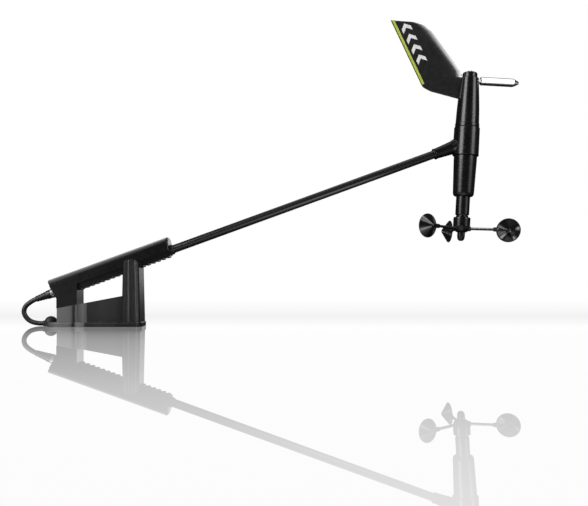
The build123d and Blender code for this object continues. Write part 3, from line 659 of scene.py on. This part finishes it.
def chevron(start):
    inset, width, bend, band = 6.0, 10.8, 5.2, 5.0

    def outline(across, along):
        return inset + width * across, start + bend * abs(across - 0.5) * 2 + band * along

    return outline


def ride_vane(skin, piece):
    """Let a skin turn with the vane in place of a CAD piece."""
    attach(skin, "vane")
    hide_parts(piece)
    return skin


CHEVRON_STARTS = [10.0 + 12.5 * i for i in range(4)]
SKINS = {
    "vane_blade": ride_vane(blade_mesh(), "vane_blade"),
    "vane_stripe": ride_vane(
        film_mesh("vane_stripe_skin", [stripe], columns=4, rows=120,
                  lift=0.10, material=stripe_film),
        "vane_stripe"),
    "vane_marks": ride_vane(
        film_mesh("vane_marks_skin", [chevron(start) for start in CHEVRON_STARTS],
                  columns=16, rows=8, lift=0.06, material=mark_film),
        "vane_marks"),
}

# ---------------------------------------------------------------- floor
FLOOR_X, FLOOR_Y, FLOOR_Z = (-3.5, 4.0), (-2.5, 5.0), -0.0002
FLOOR_COLUMNS, FLOOR_ROWS = 24, 60
# the floor's looks over its y (or x) in metres: (distance, level)
# seen straight on: white, with a painted grey shade band on the floor behind the mast
FLOOR_PAINTED_SHADE = [(-0.60, 0.965), (-0.25, 0.958), (0.0, 0.930), (0.06, 0.885), (0.16, 0.790),
              (0.30, 0.895), (0.66, 1.0)]
FLOOR_GLOW_Y = [(-0.60, 0.25), (-0.42, 0.40), (-0.34, 1.0), (-0.20, 1.0), (-0.10, 0.30),
                (-0.02, 0.08), (0.05, 0.015)]
FLOOR_GLOW_X = [(0.10, 0.30), (0.16, 0.33), (0.32, 1.0), (0.40, 0.9), (0.44, 0.12)]
FLOOR_MIRROR = [(-0.62, 0.20), (-0.56, 0.26), (-0.48, 0.37), (-0.40, 0.44), (-0.33, 0.52),
                (-0.23, 0.60), (-0.154, 0.66), (-0.097, 0.74), (-0.053, 0.84), (0.0, 0.84),
                (0.03, 0.52), (0.06, 0.46), (0.3, 0.46)]


def floor_material():
    """Glowing white sheet that mirrors the object, with its own look for each kind of ray."""
    mat = Shader("floor_gloss_white")
    x, y = mat.separate()[:2]

    def over_y(stops):
        return mat.grey_table(y, stops, start=-1.0, end=1.0)

    def level(color):
        return mat.node("ShaderNodeRGBToBW", {0: color}).outputs[0]

    def blend(amount, first, second):
        inputs = {0: amount, 1: first.outputs[0], 2: second.outputs[0]}
        return mat.node("ShaderNodeMixShader", inputs)

    # seen straight on: near white with a painted soft grey shade band behind the mast
    grain = mat.remap(mat.noise(scale=60.0, detail=4.0, rough=0.6), start=0.4, end=0.7)
    paper = mat.mix(mat.mul(grain, 0.010), over_y(FLOOR_PAINTED_SHADE), (0.93, 0.93, 0.94))
    # as the object mirrors it: bright in front and to the right, dim behind
    across = level(mat.grey_table(x, FLOOR_GLOW_X, start=0.0, end=0.6))
    glow = mat.mul(mat.mul(across, 2.6), level(over_y(FLOOR_GLOW_Y)))
    rays = mat.node("ShaderNodeLightPath").outputs
    seen = blend(
        over_y(FLOOR_MIRROR),
        mat.node("ShaderNodeEmission", {"Color": paper}),
        mat.node("ShaderNodeBsdfGlossy", {"Color": (1, 1, 1, 1), "Roughness": 0.0}))
    unseen = blend(
        rays["Is Glossy Ray"],
        mat.node("ShaderNodeEmission", {"Strength": 0.24}),
        mat.node("ShaderNodeEmission", {"Strength": glow}))
    return mat.finish(blend(rays["Is Camera Ray"], unseen, seen))


def floor_mesh():
    (left, right), (front, back) = FLOOR_X, FLOOR_Y
    shape = bmesh.new()
    grid = [[shape.verts.new((left + (right - left) * i / FLOOR_COLUMNS,
                              front + (back - front) * j / FLOOR_ROWS, FLOOR_Z))
             for i in range(FLOOR_COLUMNS + 1)] for j in range(FLOOR_ROWS + 1)]
    for near, far in zip(grid, grid[1:]):
        for i in range(FLOOR_COLUMNS):
            shape.faces.new((near[i], near[i + 1], far[i + 1], far[i]))
    return new_object("floor", shape, floor_material())


floor_mesh()


# ---------------------------------------------------------------- world
def build_world():
    """White seen straight or in the floor's mirror, dim for what the object reflects."""
    world = bpy.data.worlds.new("studio")
    bpy.context.scene.world = world
    world.use_nodes = True
    tree = world.node_tree
    tree.nodes.clear()

    def background(color, strength):
        inputs = {0: rgba(color), 1: strength}
        return add_node(tree, "ShaderNodeBackground", inputs).outputs[0]

    def blend(amount, first, second):
        inputs = {0: amount, 1: first, 2: second}
        return add_node(tree, "ShaderNodeMixShader", inputs).outputs[0]

    cool = (0.96, 0.97, 1.0)
    rays = add_node(tree, "ShaderNodeLightPath").outputs
    direct = add_node(tree, "ShaderNodeMath",
                      {0: rays["Is Camera Ray"], 1: rays["Is Singular Ray"]},
                      operation="MAXIMUM").outputs[0]
    dim = blend(rays["Is Glossy Ray"], background(cool, strength=0.24),
                background(cool, strength=0.045))
    surface = blend(direct, dim, background((1, 1, 1), strength=1.0))
    add_node(tree, "ShaderNodeOutputWorld", {0: surface})


build_world()

# ---------------------------------------------------------------- lights
METALS = ["foot_screws", "foot_washers", "vane_cap_screw"]
WEIGHT = ["counterweight", "counterweight_stud"]
MAST, HOUSING = ["mast_base"], ["root_housing"]
BASE = ["root_housing", "mast_base", "cable_plug", "signal_cable", "cable_gland", "spar_seal"]
NOT_MAST = [piece for piece in NODES if piece not in MAST]
NOT_HOUSING = [piece for piece in NODES if piece not in HOUSING]
BASE_NOT_MAST = [piece for piece in BASE if piece not in MAST]


def soft_box(name, place, target, size, radiance, only=None, rotation=None):
    """Rectangular lamp aimed at a target; radiance is in units of paper white."""
    lamp = bpy.data.lights.new(name, "AREA")
    lamp.shape = "RECTANGLE"
    lamp.size, lamp.size_y = size
    lamp.energy = radiance * math.pi * size[0] * size[1]
    box = bpy.data.objects.new(name, lamp)
    bpy.context.scene.collection.objects.link(box)
    box.location = place
    aim = Vector(target) - Vector(place)
    box.rotation_euler = rotation or aim.to_track_quat("-Z", "Y").to_euler()
    box.visible_camera = False
    # the lamps fall on the object alone, so the glossy floor never mirrors one
    lit = bpy.data.collections.new(name + "_lit")
    for piece in only or list(NODES):
        lit.objects.link(NODES[piece])
        if piece in SKINS:
            lit.objects.link(SKINS[piece])
    box.light_linking.receiver_collection = lit


def around(x, z, bearing, distance):
    """A spot round the vertical line at x: bearing 0 is toward the viewer, positive right."""
    angle = math.radians(bearing)
    return (x + distance * math.sin(angle), -distance * math.cos(angle), z)


def strip(name, z, bearing, aim_z, size, radiance, only=None):
    """A soft box standing to the side of the head."""
    soft_box(name, around(0.40, z, bearing, distance=1.5), (0.40, 0, aim_z),
             size, radiance, only)


BASE_AIM = (0.02, 0.0, 0.06)
END_PLACE, END_AIM = (0.30, 1.30, 0.22), (0.06, 0.0, 0.06)
CROWN = (0.02, 0, 0.09)
LEFT, RIGHT = -56, 52      # bearings of the strips

# two tall strips light the head; each is weaker near the floor
strip("strip_left", 0.86, LEFT, 0.60, size=(0.78, 0.90), radiance=8.8, only=NOT_HOUSING)
strip("strip_left_low", 0.20, LEFT, 0.20, size=(0.70, 0.36), radiance=2.4, only=NOT_MAST)
strip("strip_right", 0.86, RIGHT, 0.60, size=(0.76, 0.90), radiance=5.6)
strip("strip_right_low", 0.20, RIGHT, 0.20, size=(0.70, 0.36), radiance=1.5, only=NOT_MAST)
soft_box("top_soft", (0.20, 0.05, 1.25), (0.15, 0.0, 0.1), size=(1.2, 0.55), radiance=0.9)
soft_box("top_base", (0.04, 0.25, 1.0), BASE_AIM, size=(1.0, 0.60), radiance=0.6, only=BASE)
soft_box("back_base", (0.04, 0.95, 0.75), BASE_AIM, size=(1.4, 0.85), radiance=0.35, only=BASE)

# behind and to the left: what the crown of the tilted housing mirrors toward the viewer
CROWN_DISTANCE = 1.2
# name, elevation, bearing left of straight behind, radiance
for name, elevation, bearing, radiance in (
    ("crown_low", 14, 21, 1.5),
    ("crown_mid", 33, 32, 1.9),
    ("crown_high", 52, 50, 2.4),
):
    rise, turn = math.radians(elevation), math.radians(bearing)
    place = (CROWN[0] - CROWN_DISTANCE * math.cos(rise) * math.sin(turn),
             CROWN_DISTANCE * math.cos(rise) * math.cos(turn),
             CROWN[2] + CROWN_DISTANCE * math.sin(rise))
    soft_box(name, place, CROWN, size=(1.0, 0.42), radiance=radiance, only=HOUSING)

soft_box("end_base", END_PLACE, END_AIM, size=(0.9, 0.40), radiance=1.6, only=BASE_NOT_MAST)
soft_box("end_mast", END_PLACE, END_AIM, size=(0.9, 0.40), radiance=1.0, only=MAST)
soft_box("post_front", around(0.034, 0.10, bearing=13, distance=0.62), (0.034, 0, 0.03),
         size=(0.10, 0.30), radiance=9.5, only=MAST)
soft_box("crown_over", (-0.66, -0.12, 1.07), CROWN, size=(0.9, 0.6), radiance=1.7, only=HOUSING)
strip("crown_front", 0.86, LEFT, 0.60, size=(0.78, 0.90), radiance=2.1, only=HOUSING)

# boxes lying along the blade, fanned from the viewer round toward its leading side
BLADE_CENTRE = Vector((0.355, 0.0, 0.285))
BLADE_FORWARD = Vector((0.765, 0.0, 0.644))
BLADE_LENGTH = DEPTH.cross(BLADE_FORWARD).normalized()
# name, angle from the viewer, width, radiance
for name, angle, width, radiance in (
    ("blade_edge_a", 46, 0.24, 2.2),
    ("blade_edge_b", 59, 0.22, 6.0),
    ("blade_edge_c", 74, 0.32, 14.0),
    ("blade_edge_d", 95, 0.40, 20.0),
):
    fan = math.radians(angle)
    offset = Vector((0, -math.cos(fan), 0)) + BLADE_FORWARD * math.sin(fan)
    outward = offset.normalized()
    across = BLADE_LENGTH.cross(outward).normalized()
    rotation = Matrix((across, BLADE_LENGTH, outward)).transposed().to_euler()
    soft_box(name, tuple(BLADE_CENTRE + offset), tuple(BLADE_CENTRE), (width, 1.3), radiance,
             only=["vane_blade"], rotation=rotation)

# small sources, each where one generator of a cup's cone mirrors it to the viewer,
# draw the radial streaks
CUP_CENTRE = (50.3 * MM, -6.0 * MM, -95.3 * MM)   # in the head frame, before turning
FIRST_CUP = -25.8                                 # bearing of cup 0 about the head axis
CONE_RADIAL, CONE_AXIAL = 0.590, 0.807            # parts of the cone's normal
STREAK_REACH, STREAK_SPREAD = 0.9, 0.24           # farthest source, and its size per metre


def cup_streaks(cup, inside, streaks):
    """Sources for one cup; each streak is (angle round the cone, radiance)."""
    turned = HEAD @ Matrix.Rotation(math.radians(FIRST_CUP + 120 * cup), 4, "Z")
    centre = turned @ Vector(CUP_CENTRE)
    cone_axis = (turned.to_3x3() @ Vector((0, -1, 0))).normalized()
    up = (turned.to_3x3() @ Vector((0, 0, 1))).normalized()
    right = up.cross(cone_axis).normalized()
    if right.x < 0:
        right = -right
    to_eye = (EYE - centre).normalized()
    for i, (angle, radiance) in enumerate(streaks):
        turn = math.radians(angle)
        radial = right * math.cos(turn) + up * math.sin(turn)
        normal = radial * CONE_RADIAL - cone_axis * CONE_AXIAL
        if inside:
            normal = -normal
        mirrored = normal * (2 * normal.dot(to_eye)) - to_eye
        # a source below the cup is drawn in so that it stays near it
        reach = STREAK_REACH
        if mirrored.z <= -0.02:
            reach = min(STREAK_REACH, 0.04 / -mirrored.z)
        side = STREAK_SPREAD * reach
        soft_box("cup_streak_%d_%d" % (cup, i), tuple(centre + mirrored * reach),
                 tuple(centre), (side, side), radiance, only=["rotor_cups"])


cup_streaks(cup=0, inside=True, streaks=((14, 8.0), (-50, 10.0), (-133, 9.0), (158, 5.0)))
cup_streaks(cup=2, inside=False, streaks=((52, 0.30), (-52, 0.22), (150, 5.0), (205, 5.0)))

soft_box("arm_top", (0.42, -0.35, 0.9), (0.42, 0, 0.07), size=(0.9, 0.3), radiance=30.0,
         only=["rotor_arms"])
soft_box("metal_front", (0.42, -1.7, 0.55), (0.42, 0, 0.2), size=(2.2, 0.9), radiance=1.25,
         only=METALS)
soft_box("metal_top", (0.45, -0.30, 1.2), (0.45, 0, 0.2), size=(1.4, 0.9), radiance=1.25,
         only=METALS)

# the polished weight sees white from below the horizon to overhead, so that only its
# underside stays dark
WEIGHT_AIM = (0.42, 0, 0.27)
# name, elevation, distance, height of the box
for name, elevation, distance, height in (
    ("weight_low", -24, 0.29, 0.27),
    ("weight_front", 26, 0.60, 0.62),
    ("weight_top", 78, 0.60, 0.62),
):
    rise = math.radians(elevation)
    place = (WEIGHT_AIM[0], -distance * math.cos(rise),
             WEIGHT_AIM[2] + distance * math.sin(rise))
    soft_box(name, place, WEIGHT_AIM, size=(1.3, height), radiance=1.15, only=WEIGHT)


# ---------------------------------------------------------------- camera
def build_camera():
    """Level camera looking along +Y, its picture shifted up."""
    lens = bpy.data.cameras.new("camera")
    camera = bpy.data.objects.new("camera", lens)
    bpy.context.scene.collection.objects.link(camera)
    lens.sensor_fit = "HORIZONTAL"
    lens.sensor_width = 36.0
    lens.lens = 42.857143
    lens.shift_y = 0.027210884
    lens.clip_start = 0.01
    lens.clip_end = 50.0
    camera.location = EYE
    camera.rotation_euler = (math.radians(90), 0, 0)
    bpy.context.scene.camera = camera


build_camera()
bpy.context.scene.view_settings.view_transform = "Standard"
bpy.context.scene.view_settings.look = "None"
